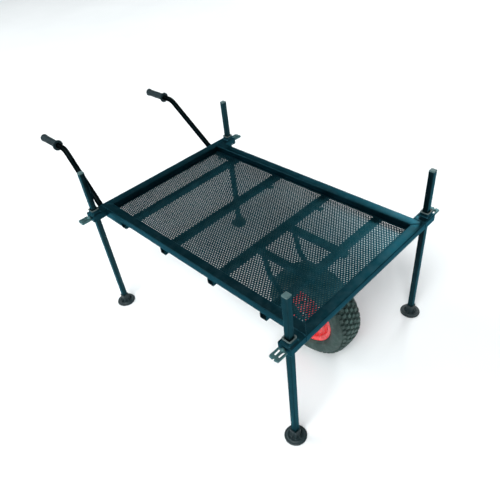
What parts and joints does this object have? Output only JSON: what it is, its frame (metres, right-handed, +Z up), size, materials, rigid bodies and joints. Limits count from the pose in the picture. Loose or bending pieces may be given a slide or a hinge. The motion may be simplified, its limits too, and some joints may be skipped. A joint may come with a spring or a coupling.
{
  "type": "wheeled platform barrow",
  "caption": "Flat perforated-deck barrow with one wide front wheel and plug-in push handles that stands as a level platform on clamped sliding legs.",
  "frame": {"origin": "on the ground under the middle of the whole box, handles to wheel-end feet", "axes": "+X towards the wheel end, +Y towards the left side, +Z up"},
  "size_m": [1.633, 0.9426, 0.735],
  "materials": {
    "frame_paint": "satin powder coat, dark blue-green",
    "deck_paint": "satin powder coat on perforated steel",
    "leg_paint": "satin powder coat, scuffed by the sleeves",
    "screw_paint": "satin powder coat on cast wings",
    "cap_plastic": "moulded, pale grey-green",
    "bush_plastic": "moulded, dark grey",
    "foot_plastic": "moulded, almost black",
    "grip_rubber": "matt, ribbed",
    "valve_rubber": "matt",
    "tyre_rubber": "matt, dusty",
    "rim_paint": "gloss enamel, bright red",
    "bearing_steel": "ground",
    "zinc": "bright zinc plate"
  },
  "bodies": {
    "platform": {"side_rail_left": "frame_paint", "side_rail_right": "frame_paint", "end_rail_front": "frame_paint", "end_rail_rear": "frame_paint", "deck_mesh": "deck_paint", "cross_bar_1": "frame_paint", "cross_bar_2": "frame_paint", "cross_bar_3": "frame_paint", "cross_bar_4": "frame_paint", "leg_bracket_front_left": "frame_paint", "leg_bracket_front_right": "frame_paint", "leg_bracket_rear_left": "frame_paint", "leg_bracket_rear_right": "frame_paint", "leg_bush_front_left": "bush_plastic", "leg_bush_front_right": "bush_plastic", "leg_bush_rear_left": "bush_plastic", "leg_bush_rear_right": "bush_plastic", "handle_socket_left": "frame_paint", "handle_socket_right": "frame_paint", "fork_rail_left": "frame_paint", "fork_rail_right": "frame_paint", "fork_strut_left": "frame_paint", "fork_strut_right": "frame_paint", "axle": "zinc", "axle_spacer_left": "zinc", "axle_spacer_right": "zinc", "axle_nut_left": "zinc", "axle_nut_right": "zinc"},
    "wheel": {"tyre": "tyre_rubber", "rim_half_left": "rim_paint", "rim_half_right": "rim_paint", "hub": "rim_paint", "bearing_left": "bearing_steel", "bearing_right": "bearing_steel", "valve_stem": "valve_rubber"},
    "leg_front_left": {"leg_front_left": "leg_paint", "leg_cap_front_left": "cap_plastic", "foot_front_left": "foot_plastic"},
    "leg_front_right": {"leg_front_right": "leg_paint", "leg_cap_front_right": "cap_plastic", "foot_front_right": "foot_plastic"},
    "leg_rear_left": {"leg_rear_left": "leg_paint", "leg_cap_rear_left": "cap_plastic", "foot_rear_left": "foot_plastic"},
    "leg_rear_right": {"leg_rear_right": "leg_paint", "leg_cap_rear_right": "cap_plastic", "foot_rear_right": "foot_plastic"},
    "leg_screw_front_left": {"leg_screw_front_left": "screw_paint"},
    "leg_screw_front_right": {"leg_screw_front_right": "screw_paint"},
    "leg_screw_rear_left": {"leg_screw_rear_left": "screw_paint"},
    "leg_screw_rear_right": {"leg_screw_rear_right": "screw_paint"},
    "handle_left": {"handle_left": "frame_paint", "grip_left": "grip_rubber"},
    "handle_right": {"handle_right": "frame_paint", "grip_right": "grip_rubber"},
    "handle_screw_left": {"handle_screw_left": "screw_paint"},
    "handle_screw_right": {"handle_screw_right": "screw_paint"},
    "bar_screw_2": {"bar_screw_2": "screw_paint"},
    "bar_screw_3": {"bar_screw_3": "screw_paint"}
  },
  "joints": [
    {"name": "wheel_spin", "type": "hinge", "parent": "platform", "child": "wheel", "pos_m": [0.5455, 0, 0.2], "axis": [0, 1, 0], "continuous": true},
    {"name": "leg_slide_front_left", "type": "slide", "parent": "platform", "child": "leg_front_left", "axis": [0, 0, 1], "range_m": [-0.16, 0.44]},
    {"name": "leg_slide_front_right", "type": "slide", "parent": "platform", "child": "leg_front_right", "axis": [0, 0, 1], "range_m": [-0.16, 0.44]},
    {"name": "leg_slide_rear_left", "type": "slide", "parent": "platform", "child": "leg_rear_left", "axis": [0, 0, 1], "range_m": [-0.16, 0.44]},
    {"name": "leg_slide_rear_right", "type": "slide", "parent": "platform", "child": "leg_rear_right", "axis": [0, 0, 1], "range_m": [-0.16, 0.44]},
    {"name": "leg_screw_turn_front_left", "type": "hinge", "parent": "platform", "child": "leg_screw_front_left", "pos_m": [0.7745, 0.4083, 0.524], "axis": [0, 1, 0], "range_deg": [0, 720]},
    {"name": "leg_screw_turn_front_right", "type": "hinge", "parent": "platform", "child": "leg_screw_front_right", "pos_m": [0.7745, -0.4083, 0.524], "axis": [0, -1, 0], "range_deg": [0, 720]},
    {"name": "leg_screw_turn_rear_left", "type": "hinge", "parent": "platform", "child": "leg_screw_rear_left", "pos_m": [-0.3195, 0.4083, 0.524], "axis": [0, 1, 0], "range_deg": [0, 720]},
    {"name": "leg_screw_turn_rear_right", "type": "hinge", "parent": "platform", "child": "leg_screw_rear_right", "pos_m": [-0.3195, -0.4083, 0.524], "axis": [0, -1, 0], "range_deg": [0, 720]},
    {"name": "handle_slide_left", "type": "slide", "parent": "platform", "child": "handle_left", "axis": [-1, 0, 0], "range_m": [0, 0.12]},
    {"name": "handle_slide_right", "type": "slide", "parent": "platform", "child": "handle_right", "axis": [-1, 0, 0], "range_m": [0, 0.12]},
    {"name": "handle_screw_turn_left", "type": "hinge", "parent": "platform", "child": "handle_screw_left", "pos_m": [-0.2725, 0.3172, 0.4932], "axis": [0, -1, 0], "range_deg": [0, 720]},
    {"name": "handle_screw_turn_right", "type": "hinge", "parent": "platform", "child": "handle_screw_right", "pos_m": [-0.2725, -0.3172, 0.4932], "axis": [0, 1, 0], "range_deg": [0, 720]},
    {"name": "bar_screw_turn_2", "type": "hinge", "parent": "platform", "child": "bar_screw_2", "pos_m": [0.096, 0.235, 0.4962], "axis": [1, 0, 0], "range_deg": [0, 720]},
    {"name": "bar_screw_turn_3", "type": "hinge", "parent": "platform", "child": "bar_screw_3", "pos_m": [0.373, 0.235, 0.4962], "axis": [1, 0, 0], "range_deg": [0, 720]}
  ]
}
